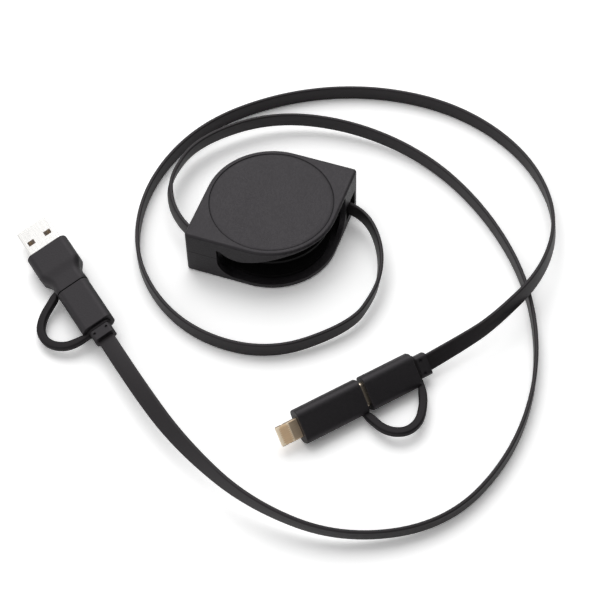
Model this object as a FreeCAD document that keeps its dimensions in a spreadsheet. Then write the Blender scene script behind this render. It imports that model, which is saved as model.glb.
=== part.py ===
"""A retractable flat charging cable: a leaf-shaped reel, two ribbons and a plug with an adapter on each.

Millimetres. The origin is the middle of the reel's underside, +Z is up, and the ribbons lie on z = 0.
"""
import FreeCAD
import Part
import Sketcher
import math
import os

Vector = FreeCAD.Vector
doc = FreeCAD.newDocument("retractable_cable")

# Driving sizes, each written once
SIZES = {
    # case: a square with two corners kept and two rounded right off
    "case_side": 45.0,
    "case_height": 18.5,
    "case_corner": 1.2,
    "case_edge": 0.9,
    "wall": 1.8,
    "base_thick": 1.8,
    "roof_thick": 2.0,
    "lip_thick": 1.2,
    "window_left": 11.2,
    "window_right": 12.3,
    "window_sill": 2.2,
    "window_corner": 6.5,
    "notch_drop": 4.3,
    "notch_width": 1.2,
    "dip_width": 8.6,
    "dip_drop": 6.5,
    "rise_width": 8.7,
    "rise_drop": 3.4,
    "port_wall": 1.2,
    "port_width": 8.6,
    "lead_inset": 8.9,
    "lead_bow": 0.4,
    "disc_margin": 1.9,
    "disc_thick": 0.8,
    "disc_gap": 0.15,
    "disc_chamfer": 0.2,
    # reel: post, spool, spring and ratchet
    "post_radius": 3.4,
    "bearing_gap": 0.05,
    "spool_gap": 0.4,
    "low_flange": 1.4,
    "high_flange": 1.0,
    "flange_gap": 1.1,
    "wind_depth": 6.2,
    "coil_gap": 0.35,
    "chamber_radius": 15.2,
    "chamber_wall": 1.0,
    "cover_thick": 0.7,
    "cover_gap": 0.5,
    "boss_radius": 4.2,
    "boss_length": 1.0,
    "screw_radius": 1.0,
    "screw_length": 9.0,
    "head_radius": 2.4,
    "head_height": 1.2,
    "head_gap": 0.25,
    "spring_turns": 8.0,
    "spring_pitch": 1.1,
    "spring_thick": 0.25,
    "spring_gap": 0.3,
    "tab_length": 1.2,
    "ball_radius": 1.0,
    "ball_inset": 9.8,
    "ball_travel": 1.0,
    "ball_gap": 0.05,
    "ball_slot_depth": 1.0,
    # ribbon
    "cable_width": 5.7,
    "cable_thick": 1.33,
    "cable_play": 0.35,
    # where the ends lie: place of the cable end, turn, tip-down and roll in degrees
    "wide_x": -34.7,
    "wide_y": -61.8,
    "wide_z": 6.45,
    "wide_yaw": 140.1,
    "wide_pitch": 1.0,
    "wide_roll": -15.0,
    "slim_x": 66.0,
    "slim_y": -36.9,
    "slim_z": 5.4,
    "slim_yaw": 230.6,
    "slim_pitch": -1.0,
    "slim_roll": -43.0,
    # plug on each cable
    "relief_length": 3.8,
    "relief_width": 7.5,
    "relief_thick": 4.2,
    "relief_corner": 1.2,
    "neck_width": 6.4,
    "neck_thick": 3.0,
    "neck_corner": 1.0,
    "dimple_radius": 0.5,
    "dimple_depth": 0.5,
    "dimple_side": 2.2,
    "dimple_inset": 1.4,
    "collar_length": 1.0,
    "collar_end_gap": 0.1,
    "collar_width": 9.0,
    "collar_thick": 4.4,
    "collar_corner": 2.0,
    "collar_gap": 0.05,
    "grip_length": 18.2,
    "grip_width": 11.4,
    "grip_thick": 6.4,
    "grip_corner": 2.25,
    "grip_edge": 0.25,
    "plug_width": 8.25,
    "plug_thick": 2.4,
    "plug_corner": 1.1,
    "plug_wall": 0.25,
    "plug_seat": 7.6,
    "plug_reach": 6.65,
    "seat_gap": 0.02,
    "insert_inset": 0.3,
    "slot_width": 6.8,
    "slot_thick": 1.0,
    "slot_corner": 0.3,
    "slot_depth": 5.5,
    "contact_width": 0.3,
    "contact_thick": 0.15,
    "contact_length": 4.6,
    "contact_pitch": 0.5,
    "board_length": 6.5,
    "board_width": 7.6,
    "board_thick": 0.8,
    "board_gap": 0.3,
    # adapters: what both hold
    "socket_width": 8.35,
    "socket_thick": 2.56,
    "socket_corner": 1.15,
    "socket_wall": 0.3,
    "socket_depth": 6.9,
    "socket_back": 1.2,
    "tongue_width": 6.6,
    "tongue_thick": 0.64,
    "tongue_length": 4.9,
    "tongue_corner": 0.2,
    # wide adapter
    "wide_gap": 0.3,
    "wide_length": 18.7,
    "shoulder": 9.6,
    "neck_share": 0.28,
    "waist_share": 0.55,
    "waist_swell": 0.06,
    "hip_share": 0.78,
    "hip_swell": 0.62,
    "wide_width": 15.2,
    "wide_thick": 8.0,
    "wide_corner": 2.2,
    "wide_edge": 0.35,
    "shell_width": 12.0,
    "shell_thick": 4.5,
    "shell_corner": 0.6,
    "shell_wall": 0.3,
    "shell_reach": 11.75,
    "shell_seat": 6.0,
    "shell_window": 2.5,
    "shell_window_long": 1.95,
    "shell_window_apart": 6.35,
    "shell_window_inset": 5.4,
    "blade_tongue_thick": 1.84,
    "blade_tongue_inset": 0.4,
    "pad_width": 1.0,
    "pad_thick": 0.15,
    "pad_length": 7.5,
    # slim adapter
    "slim_gap": 1.5,
    "slim_length": 22.9,
    "blade_width": 6.7,
    "blade_thick": 1.5,
    "blade_corner": 0.6,
    "blade_reach": 7.3,
    "blade_seat": 4.0,
    "blade_edge": 0.35,
    "notch_radius": 0.45,
    "notch_inset": 2.4,
    "finger_width": 0.4,
    "finger_pitch": 0.62,
    "finger_thick": 0.06,
    "finger_length": 3.4,
    "finger_inset": 0.8,
    # tether straps
    "strap_width": 2.8,
    "strap_thick": 2.4,
    "strap_chamfer": 0.5,
}

# Sizes that follow from the driving ones
LINKS = {
    "case_half": "case_side / 2",
    "cavity_half": "case_side / 2 - wall",
    "beyond": "case_side / 2 + 1",
    "minus_beyond": "-case_side / 2 - 1",
    "window_west": "window_left - case_side / 2",
    "window_north": "case_side / 2 - window_right",
    "port_low": "window_north + port_wall",
    "port_high": "port_low + port_width",
    "lead_side": "case_side / 2 - lead_inset",
    "hub_radius": "lead_side - wind_depth",
    "ball_circle": "case_side / 2 - ball_inset",
    "flange_radius": "case_side / 2 - wall - flange_gap",
    "flange_low": "base_thick + spool_gap",
    "wind_low": "flange_low + low_flange",
    "wind_high": "wind_low + cable_width + 2 * cable_play",
    "seam": "wind_high",
    "flange_high": "wind_high + high_flange",
    "roof_low": "case_height - roof_thick",
    "cover_high": "roof_low - cover_gap",
    "chamber_high": "cover_high - cover_thick",
    "post_high": "roof_low - boss_length",
    "upper_height": "case_height - seam",
    "cavity_depth": "seam - base_thick",
    "window_depth": "seam - window_sill",
    "port_depth": "seam - wind_low",
    "window_top": "case_height - lip_thick",
    "notch_height": "case_height - notch_drop",
    "dip_height": "case_height - dip_drop",
    "rise_height": "case_height - rise_drop",
    "below_seam": "seam - 1",
    "notch_east": "window_west + notch_width",
    "dip_east": "window_west + notch_width + dip_width",
    "rise_east": "dip_east + rise_width",
    "window_run": "case_side / 2 - window_right + beyond",
    "disc_radius": "case_side / 2 - disc_margin",
    "recess_radius": "disc_radius + disc_gap",
    "disc_low": "case_height - disc_thick",
    "head_seat": "disc_low - head_height - head_gap",
    "head_bore": "head_radius + head_gap",
    "head_depth": "head_height + head_gap",
    "screw_bore": "screw_radius + bearing_gap",
    "screw_through": "head_seat - post_high",
    "screw_low": "head_seat - screw_length",
    "pilot_depth": "screw_length + head_gap - screw_through",
    "post_length": "post_high - base_thick",
    "spool_bore": "post_radius + bearing_gap",
    "cover_bore": "boss_radius + coil_gap",
    "chamber_inner": "chamber_radius - chamber_wall",
    "groove_inner": "ball_circle - ball_travel - ball_radius - 4 * ball_gap - 0.3",
    "groove_outer": "ball_circle + ball_travel + ball_radius + 4 * ball_gap + 0.3",
    "groove_top": "base_thick - ball_slot_depth + 2 * ball_radius + 4 * ball_gap",
    "coil_radius": "lead_side - cable_thick / 2 - coil_gap",
    "coil_inner": "hub_radius + bearing_gap",
    "coil_low": "wind_low + cable_play",
    "spring_low": "flange_high + spring_gap",
    "spring_width": "chamber_high - spring_low - spring_gap",
    "tab_slot_low": "spring_low - spring_gap / 2",
    "tab_slot_depth": "post_high - tab_slot_low",
    "tab_slot_inner": "post_radius - tab_length - spring_gap",
    "tab_slot_outer": "post_radius + 1",
    "tab_slot_half": "spring_thick / 2 + spring_gap / 2",
    "minus_tab_slot_half": "-tab_slot_half",
    "ball_slot_inner": "-ball_circle - ball_travel - ball_radius - ball_gap",
    "ball_slot_outer": "-ball_circle + ball_travel + ball_radius + ball_gap",
    "ball_slot_half": "ball_radius + ball_gap",
    "minus_ball_slot_half": "-ball_slot_half",
    "neck_length": "collar_length + 2 * collar_end_gap",
    "collar_start": "relief_length + collar_end_gap",
    "grip_start": "relief_length + neck_length",
    "grip_end": "grip_start + grip_length",
    "relief_top": "relief_thick / 2",
    "dimple_x": "relief_length - dimple_inset",
    "minus_dimple_side": "-dimple_side",
    "collar_bore_width": "neck_width + 2 * collar_gap",
    "collar_bore_thick": "neck_thick + 2 * collar_gap",
    "plug_start": "grip_end - plug_seat",
    "plug_length": "plug_seat + plug_reach",
    "plug_tip": "grip_end + plug_reach",
    "plug_bore_width": "plug_width + 2 * seat_gap",
    "plug_bore_thick": "plug_thick + 2 * seat_gap",
    "plug_inner_width": "plug_width - 2 * plug_wall",
    "plug_inner_thick": "plug_thick - 2 * plug_wall",
    "plug_inner_corner": "plug_corner - plug_wall",
    "insert_width": "plug_inner_width - 2 * seat_gap",
    "insert_thick": "plug_inner_thick - 2 * seat_gap",
    "insert_length": "plug_length - insert_inset",
    "insert_tip": "plug_tip - insert_inset",
    "board_start": "plug_start - board_length - seat_gap",
    "board_room": "board_length + board_gap",
    "board_room_width": "board_width + 2 * board_gap",
    "board_room_thick": "board_thick + 4 * board_gap",
    "board_corner": "board_thick / 8",
    "board_room_corner": "board_gap",
    "socket_outer_width": "socket_width + 2 * socket_wall",
    "socket_outer_thick": "socket_thick + 2 * socket_wall",
    "socket_outer_corner": "socket_corner + socket_wall",
    "socket_length": "socket_depth + socket_back",
    "socket_bore_width": "socket_outer_width + 2 * seat_gap",
    "socket_bore_thick": "socket_outer_thick + 2 * seat_gap",
    "socket_bore_length": "socket_length + seat_gap",
    "wide_rear": "grip_end + wide_gap",
    "wide_front": "wide_rear + wide_length",
    "wide_neck": "wide_rear + neck_share * shoulder",
    "wide_waist": "wide_rear + waist_share * shoulder",
    "waist_width": "grip_width + waist_swell * (wide_width - grip_width)",
    "waist_thick": "grip_thick + waist_swell * (wide_thick - grip_thick)",
    "wide_hip": "wide_rear + hip_share * shoulder",
    "hip_width": "grip_width + hip_swell * (wide_width - grip_width)",
    "hip_thick": "grip_thick + hip_swell * (wide_thick - grip_thick)",
    "wide_bulk": "wide_rear + shoulder",
    "wide_bulk_length": "wide_length - shoulder",
    "wide_socket_end": "wide_rear + socket_depth",
    "wide_board_start": "wide_rear + socket_length + 2 * seat_gap",
    "wide_board_length": "wide_length - shell_seat - socket_length - 4 * seat_gap",
    "wide_board_room": "wide_length - shell_seat - socket_length",
    "wide_board_room_start": "wide_rear + socket_length",
    "shell_start": "wide_front - shell_seat",
    "shell_length": "shell_seat + shell_reach",
    "shell_bore_width": "shell_width + 2 * seat_gap",
    "shell_bore_thick": "shell_thick + 2 * seat_gap",
    "shell_inner_width": "shell_width - 2 * shell_wall",
    "shell_inner_thick": "shell_thick - 2 * shell_wall",
    "shell_inner_corner": "shell_corner - shell_wall",
    "window_west_edge": "wide_front + shell_window_inset - shell_window_long / 2",
    "window_east_edge": "wide_front + shell_window_inset + shell_window_long / 2",
    "window_inner": "shell_window_apart / 2 - shell_window / 2",
    "window_outer": "shell_window_apart / 2 + shell_window / 2",
    "minus_window_inner": "-window_inner",
    "minus_window_outer": "-window_outer",
    "blade_tongue_half": "shell_inner_width / 2 - shell_inner_corner",
    "minus_blade_tongue_half": "-blade_tongue_half",
    "blade_tongue_low": "seat_gap - shell_inner_thick / 2",
    "blade_tongue_high": "blade_tongue_low + blade_tongue_thick",
    "blade_tongue_length": "shell_length - blade_tongue_inset",
    "wide_tongue_start": "wide_socket_end - tongue_length",
    "shell_above": "shell_thick",
    "shell_through": "2 * shell_thick",
    "slim_rear": "grip_end + slim_gap",
    "slim_front": "slim_rear + slim_length",
    "slim_socket_end": "slim_rear + socket_depth",
    "slim_board_start": "slim_rear + socket_length + 2 * seat_gap",
    "slim_board_length": "slim_length - blade_seat - socket_length - 4 * seat_gap",
    "slim_board_room": "slim_length - blade_seat - socket_length",
    "slim_board_room_start": "slim_rear + socket_length",
    "slim_tongue_start": "slim_socket_end - tongue_length",
    "blade_start": "slim_front - blade_seat",
    "blade_length": "blade_seat + blade_reach",
    "blade_tip": "slim_front + blade_reach",
    "blade_bore_width": "blade_width + 2 * seat_gap",
    "blade_bore_thick": "blade_thick + 2 * seat_gap",
    "blade_above": "blade_thick",
    "blade_through": "2 * blade_thick",
    "notch_x": "blade_tip - notch_inset",
    "notch_y": "blade_width / 2 + notch_radius / 2",
    "minus_notch_y": "-notch_y",
}

sheet = doc.addObject("Spreadsheet::Sheet", "size")
cells = list(SIZES.items()) + [(word, "=" + rule) for word, rule in LINKS.items()]
for row, (word, content) in enumerate(cells, start=1):
    sheet.set(f"A{row}", word)
    sheet.set(f"B{row}", str(content))
    sheet.setAlias(f"B{row}", word)
doc.recompute()


def read(word):
    """A size as a plain number."""
    return float(sheet.get(word))


def bind(thing, path, word):
    """Tie one property to one size."""
    thing.setExpression(path, f"size.{word}")


def new_body(label):
    body = doc.addObject("PartDesign::Body", label)
    body.Label = label
    return body


def new_sketch(body, role, offset=None):
    """A sketch on one of the body's own planes, moved along its normal by a size."""
    plane = [feature for feature in body.Origin.OriginFeatures if feature.Role == role][0]
    sketch = body.newObject("Sketcher::SketchObject", body.Label + "_sketch")
    sketch.AttachmentSupport = (plane, [""])
    sketch.MapMode = "FlatFace"
    if offset:
        bind(sketch, "AttachmentOffset.Base.z", offset)
    return sketch


def hold(sketch, constraint, word):
    """Add a dimension and tie it to a size."""
    index = sketch.addConstraint(constraint)
    bind(sketch, f"Constraints[{index}]", word)


def hold_point(sketch, piece, end, place):
    """Fix a point by its two coordinates; None lies on the axis."""
    across, along = place
    if across is None:
        sketch.addConstraint(Sketcher.Constraint("PointOnObject", piece, end, -2))
    else:
        hold(sketch, Sketcher.Constraint("DistanceX", -1, 1, piece, end, read(across)), across)
    if along is None:
        sketch.addConstraint(Sketcher.Constraint("PointOnObject", piece, end, -1))
    else:
        hold(sketch, Sketcher.Constraint("DistanceY", -1, 1, piece, end, read(along)), along)


def spot(place):
    across, along = place
    return Vector(read(across) if across else 0, read(along) if along else 0, 0)


def polygon(sketch, places):
    """Straight lines through places, each a pair of sizes."""
    count = len(places)
    corners = [spot(place) for place in places]
    lines = [Part.LineSegment(corners[i], corners[(i + 1) % count]) for i in range(count)]
    first = sketch.addGeometry(lines, False)[0]
    for i in range(count):
        following = first + (i + 1) % count
        sketch.addConstraint(Sketcher.Constraint("Coincident", first + i, 2, following, 1))
    for i, place in enumerate(places):
        hold_point(sketch, first + i, 1, place)


def circle(sketch, place, radius):
    ring = sketch.addGeometry(Part.Circle(spot(place), Vector(0, 0, 1), read(radius)), False)
    hold(sketch, Sketcher.Constraint("Radius", ring, read(radius)), radius)
    if place == (None, None):
        sketch.addConstraint(Sketcher.Constraint("Coincident", ring, 3, -1, 1))
    else:
        hold_point(sketch, ring, 3, place)


def chain(sketch, pieces):
    """Join pieces end to end, each tangent to the next."""
    numbers = sketch.addGeometry(pieces, False)
    count = len(numbers)
    joins = [Sketcher.Constraint("Tangent", numbers[i], 2, numbers[(i + 1) % count], 1) for i in range(count)]
    sketch.addConstraint(joins)
    return numbers


def arc(centre, radius, start, end):
    whole = Part.Circle(centre, Vector(0, 0, 1), radius)
    return Part.ArcOfCircle(whole, math.radians(start), math.radians(end))


def leaf(sketch, half, corner):
    """A square with two opposite corners rounded about its middle and two kept with a small radius."""
    a = read(half)
    r = read(corner)
    middle = Vector(0, 0, 0)
    pieces = [
        Part.LineSegment(Vector(r - a, -a, 0), Vector(0, -a, 0)),
        arc(middle, a, -90, 0),
        Part.LineSegment(Vector(a, 0, 0), Vector(a, a - r, 0)),
        arc(Vector(a - r, a - r, 0), r, 0, 90),
        Part.LineSegment(Vector(a - r, a, 0), Vector(0, a, 0)),
        arc(middle, a, 90, 180),
        Part.LineSegment(Vector(-a, 0, 0), Vector(-a, r - a, 0)),
        arc(Vector(r - a, r - a, 0), r, 180, 270),
    ]
    south, south_east, east, north_east, north, north_west, west, south_west = chain(sketch, pieces)
    sketch.addConstraint(Sketcher.Constraint("Horizontal", south))
    sketch.addConstraint(Sketcher.Constraint("Horizontal", north))
    sketch.addConstraint(Sketcher.Constraint("Vertical", east))
    sketch.addConstraint(Sketcher.Constraint("Vertical", west))
    for large in (south_east, north_west):
        sketch.addConstraint(Sketcher.Constraint("Coincident", large, 3, -1, 1))
        hold(sketch, Sketcher.Constraint("Radius", large, a), half)
    for small in (north_east, south_west):
        hold(sketch, Sketcher.Constraint("Radius", small, r), corner)


def rounded(sketch, width, thick, corner):
    """A rectangle with round corners, centred on the axis."""
    a = read(width) / 2
    b = read(thick) / 2
    r = read(corner)
    pieces = [
        Part.LineSegment(Vector(r - a, -b, 0), Vector(a - r, -b, 0)),
        arc(Vector(a - r, r - b, 0), r, -90, 0),
        Part.LineSegment(Vector(a, r - b, 0), Vector(a, b - r, 0)),
        arc(Vector(a - r, b - r, 0), r, 0, 90),
        Part.LineSegment(Vector(a - r, b, 0), Vector(r - a, b, 0)),
        arc(Vector(r - a, b - r, 0), r, 90, 180),
        Part.LineSegment(Vector(-a, b - r, 0), Vector(-a, r - b, 0)),
        arc(Vector(r - a, r - b, 0), r, 180, 270),
    ]
    numbers = chain(sketch, pieces)
    for index, (side, level) in zip(numbers[1::2], ((1, -1), (1, 1), (-1, 1), (-1, -1))):
        across = sketch.addConstraint(Sketcher.Constraint("DistanceX", -1, 1, index, 3, side * (a - r)))
        along = sketch.addConstraint(Sketcher.Constraint("DistanceY", -1, 1, index, 3, level * (b - r)))
        sketch.setExpression(f"Constraints[{across}]", f"{side} * (size.{width} / 2 - size.{corner})")
        sketch.setExpression(f"Constraints[{along}]", f"{level} * (size.{thick} / 2 - size.{corner})")
        hold(sketch, Sketcher.Constraint("Radius", index, r), corner)


def pad(body, sketch, length):
    feature = body.newObject("PartDesign::Pad", body.Label + "_pad")
    feature.Profile = sketch
    bind(feature, "Length", length)
    doc.recompute()
    return feature


def pocket(body, sketch, length, forward=False):
    """Cut against the sketch's normal, or along it; a cut that removes nothing is an error."""
    before = body.Shape.Volume
    feature = body.newObject("PartDesign::Pocket", body.Label + "_pocket")
    feature.Profile = sketch
    bind(feature, "Length", length)
    feature.Reversed = forward
    doc.recompute()
    if body.Shape.Volume > before - 1e-6:
        raise RuntimeError(f"a cut in {body.Label} removes nothing")
    return feature


def opposite(body, features):
    """Repeat features half a turn round the upright axis."""
    upright = [feature for feature in body.Origin.OriginFeatures if feature.Role == "Z_Axis"][0]
    pattern = body.newObject("PartDesign::PolarPattern", body.Label + "_opposite")
    pattern.Originals = features
    pattern.Axis = (upright, [""])
    pattern.Angle = 360
    pattern.Occurrences = 2
    body.Tip = pattern
    doc.recompute()
    return pattern


def edges_where(feature, test):
    """Names of the feature's edges that pass a test."""
    edges = enumerate(feature.Shape.Edges, start=1)
    return [f"Edge{number}" for number, edge in edges if test(edge)]


def flat_at(axis, level):
    """A test for edges that lie in one plane across an axis."""
    def test(edge):
        box = edge.BoundBox
        low = getattr(box, axis + "Min")
        high = getattr(box, axis + "Max")
        return abs(low - level) < 1e-4 and abs(high - level) < 1e-4
    return test


def ease(body, kind, feature, test, word):
    """Round or bevel the edges that pass a test."""
    names = edges_where(feature, test)
    if not names:
        raise RuntimeError(f"no edge to ease in {body.Label}")
    result = body.newObject(f"PartDesign::{kind}", f"{body.Label}_{kind}")
    result.Base = (feature, names)
    bind(result, "Radius" if kind == "Fillet" else "Size", word)
    doc.recompute()
    return result


def bar(label, start, length, width, thick, corner):
    """A rounded bar along X."""
    body = new_body(label)
    sketch = new_sketch(body, "YZ_Plane", start)
    rounded(sketch, width, thick, corner)
    pad(body, sketch, length)
    return body


def bore(body, start, length, width, thick, corner, forward=False):
    """A rounded hollow along X, from a plane back into the piece, or forward from its rear."""
    sketch = new_sketch(body, "YZ_Plane", start)
    rounded(sketch, width, thick, corner)
    return pocket(body, sketch, length, forward)


def solid_node(label, shape):
    """A piece that is given as a finished shape."""
    node = doc.addObject("Part::Feature", label)
    node.Label = label
    node.Shape = shape
    return node


nodes = []

# Lower shell: floor, wall with two windows and two cable ports, and the post that carries the spool
lower_shell = new_body("lower_shell")
outline = new_sketch(lower_shell, "XY_Plane")
leaf(outline, "case_half", "case_corner")
block = pad(lower_shell, outline, "seam")
ease(lower_shell, "Fillet", block, flat_at("Z", 0), "case_edge")
hollow = new_sketch(lower_shell, "XY_Plane", "seam")
leaf(hollow, "cavity_half", "case_corner")
pocket(lower_shell, hollow, "cavity_depth")
window = new_sketch(lower_shell, "XY_Plane", "seam")
polygon(window, [
    ("window_west", "minus_beyond"),
    ("beyond", "minus_beyond"),
    ("beyond", "window_north"),
    ("window_west", "window_north"),
])
front_window = pocket(lower_shell, window, "window_depth")
front_port = new_sketch(lower_shell, "XY_Plane", "seam")
polygon(front_port, [
    ("hub_radius", "port_low"),
    ("beyond", "port_low"),
    ("beyond", "port_high"),
    ("hub_radius", "port_high"),
])
port = pocket(lower_shell, front_port, "port_depth")
pair = opposite(lower_shell, [front_window, port])


def sill_corner(edge):
    """The short edges where a window's ends meet its sill."""
    box = edge.BoundBox
    at_sill = abs(box.ZMin - read("window_sill")) < 1e-4 and box.ZLength < 1e-4
    at_west = box.XLength < 1e-4 and abs(abs(box.XMin) - abs(read("window_west"))) < 1e-4
    at_north = box.YLength < 1e-4 and abs(abs(box.YMin) - read("window_north")) < 1e-4
    return at_sill and (at_west or at_north)


ease(lower_shell, "Fillet", pair, sill_corner, "window_corner")
post = new_sketch(lower_shell, "XY_Plane", "base_thick")
circle(post, (None, None), "post_radius")
pad(lower_shell, post, "post_length")
pilot = new_sketch(lower_shell, "XY_Plane", "post_high")
circle(pilot, (None, None), "screw_radius")
pocket(lower_shell, pilot, "pilot_depth")
tab_slot = new_sketch(lower_shell, "XY_Plane", "post_high")
polygon(tab_slot, [
    ("tab_slot_inner", "minus_tab_slot_half"),
    ("tab_slot_outer", "minus_tab_slot_half"),
    ("tab_slot_outer", "tab_slot_half"),
    ("tab_slot_inner", "tab_slot_half"),
])
pocket(lower_shell, tab_slot, "tab_slot_depth")
ball_slot = new_sketch(lower_shell, "XY_Plane", "base_thick")
polygon(ball_slot, [
    ("ball_slot_inner", "minus_ball_slot_half"),
    ("ball_slot_outer", "minus_ball_slot_half"),
    ("ball_slot_outer", "ball_slot_half"),
    ("ball_slot_inner", "ball_slot_half"),
])
pocket(lower_shell, ball_slot, "ball_slot_depth")
nodes.append(lower_shell)


def tangent_arc(start, end, heading, left):
    """The arc between two points that runs along a heading at the second one."""
    normal = Vector(-heading.y, heading.x, 0) if left else Vector(heading.y, -heading.x, 0)
    back = start - end
    radius = back.dot(back) / (2 * normal.dot(back))
    centre = end + normal * radius
    from_centre = [math.degrees(math.atan2(p.y - centre.y, p.x - centre.x)) for p in (start, end)]
    return arc(centre, radius, *from_centre)


def window_profile(sketch):
    """Upper half of the window: a notch, a hanging lip, a slope and a flat crown."""
    low_west = ("window_west", "below_seam")
    high_west = ("window_west", "notch_height")
    notch = ("notch_east", "notch_height")
    dip = ("dip_east", "dip_height")
    rise = ("rise_east", "rise_height")
    crown = ("beyond", "window_top")
    low_east = ("beyond", "below_seam")
    heading = (spot(rise) - spot(dip)).normalize()
    pieces = [
        Part.LineSegment(spot(low_west), spot(high_west)),
        Part.LineSegment(spot(high_west), spot(notch)),
        tangent_arc(spot(notch), spot(dip), heading, True),
        Part.LineSegment(spot(dip), spot(rise)),
        tangent_arc(spot(crown), spot(rise), heading * -1, True),
        Part.LineSegment(spot(crown), spot(low_east)),
        Part.LineSegment(spot(low_east), spot(low_west)),
    ]
    west, top, lip, slope, arch, east, bottom = sketch.addGeometry(pieces, False)
    sketch.addConstraint([
        Sketcher.Constraint("Coincident", west, 2, top, 1),
        Sketcher.Constraint("Coincident", top, 2, lip, 1),
        Sketcher.Constraint("Tangent", lip, 2, slope, 1),
        Sketcher.Constraint("Tangent", slope, 2, arch, 2),
        Sketcher.Constraint("Coincident", arch, 1, east, 1),
        Sketcher.Constraint("Coincident", east, 2, bottom, 1),
        Sketcher.Constraint("Coincident", bottom, 2, west, 1),
    ])
    hold_point(sketch, west, 1, low_west)
    hold_point(sketch, top, 1, high_west)
    hold_point(sketch, lip, 1, notch)
    hold_point(sketch, slope, 1, dip)
    hold_point(sketch, slope, 2, rise)
    hold_point(sketch, east, 1, crown)
    hold_point(sketch, bottom, 1, low_east)


# Upper shell: the wall above the seam with its two windows, then the roof plate, disc recess and boss
upper_shell = new_body("upper_shell")
outline = new_sketch(upper_shell, "XY_Plane", "seam")
leaf(outline, "case_half", "case_corner")
block = pad(upper_shell, outline, "upper_height")
ease(upper_shell, "Fillet", block, flat_at("Z", read("case_height")), "case_edge")
hollow = new_sketch(upper_shell, "XY_Plane", "seam")
leaf(hollow, "cavity_half", "case_corner")
pocket(upper_shell, hollow, "upper_height", True)
window = new_sketch(upper_shell, "XZ_Plane", "beyond")
window_profile(window)
front_window = pocket(upper_shell, window, "window_run")
opposite(upper_shell, [front_window])
plate = new_sketch(upper_shell, "XY_Plane", "roof_low")
leaf(plate, "cavity_half", "case_corner")
pad(upper_shell, plate, "roof_thick")
boss = new_sketch(upper_shell, "XY_Plane", "post_high")
circle(boss, (None, None), "boss_radius")
pad(upper_shell, boss, "boss_length")
recess = new_sketch(upper_shell, "XY_Plane", "case_height")
circle(recess, (None, None), "recess_radius")
recess_cut = pocket(upper_shell, recess, "disc_thick")


def recess_rim(edge):
    """The round edge of the disc's recess in the top face."""
    at_top = flat_at("Z", read("case_height"))(edge)
    return at_top and abs(edge.BoundBox.XMax - read("recess_radius")) < 1e-3


ease(upper_shell, "Chamfer", recess_cut, recess_rim, "disc_chamfer")
counterbore = new_sketch(upper_shell, "XY_Plane", "disc_low")
circle(counterbore, (None, None), "head_bore")
pocket(upper_shell, counterbore, "head_depth")
screw_hole = new_sketch(upper_shell, "XY_Plane", "head_seat")
circle(screw_hole, (None, None), "screw_bore")
pocket(upper_shell, screw_hole, "screw_through")
nodes.append(upper_shell)

# Inlay disc, flush with the top
top_disc = new_body("top_disc")
outline = new_sketch(top_disc, "XY_Plane", "disc_low")
circle(outline, (None, None), "disc_radius")
plate = pad(top_disc, outline, "disc_thick")
ease(top_disc, "Chamfer", plate, flat_at("Z", read("case_height")), "disc_chamfer")
nodes.append(top_disc)

# Centre screw: head in the boss, shank in the post
centre_screw = new_body("centre_screw")
shank = new_sketch(centre_screw, "XY_Plane", "screw_low")
circle(shank, (None, None), "screw_radius")
pad(centre_screw, shank, "screw_length")
head = new_sketch(centre_screw, "XY_Plane", "head_seat")
circle(head, (None, None), "head_radius")
pad(centre_screw, head, "head_height")
nodes.append(centre_screw)

# Spool: two flanges, hub and spring chamber turned about the post, with a groove for the ratchet ball
spool = new_body("spool")
profile = new_sketch(spool, "XZ_Plane")
polygon(profile, [
    ("spool_bore", "flange_low"),
    ("groove_inner", "flange_low"),
    ("groove_inner", "groove_top"),
    ("groove_outer", "groove_top"),
    ("groove_outer", "flange_low"),
    ("flange_radius", "flange_low"),
    ("flange_radius", "wind_low"),
    ("hub_radius", "wind_low"),
    ("hub_radius", "wind_high"),
    ("flange_radius", "wind_high"),
    ("flange_radius", "flange_high"),
    ("chamber_radius", "flange_high"),
    ("chamber_radius", "chamber_high"),
    ("chamber_inner", "chamber_high"),
    ("chamber_inner", "flange_high"),
    ("spool_bore", "flange_high"),
])
turned = spool.newObject("PartDesign::Revolution", "spool_turned")
turned.Profile = profile
turned.ReferenceAxis = (profile, ["V_Axis"])
turned.Angle = 360
doc.recompute()
nodes.append(spool)


def ring(label, low, height, outer, inner):
    """A flat ring about the upright axis."""
    body = new_body(label)
    sketch = new_sketch(body, "XY_Plane", low)
    circle(sketch, (None, None), outer)
    circle(sketch, (None, None), inner)
    pad(body, sketch, height)
    nodes.append(body)


# Spring chamber cover, and the turns of both ribbons left on the hub
ring("spring_cover", "chamber_high", "cover_thick", "chamber_radius", "cover_bore")
ring("wound_cable", "coil_low", "cable_width", "coil_radius", "coil_inner")


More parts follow.
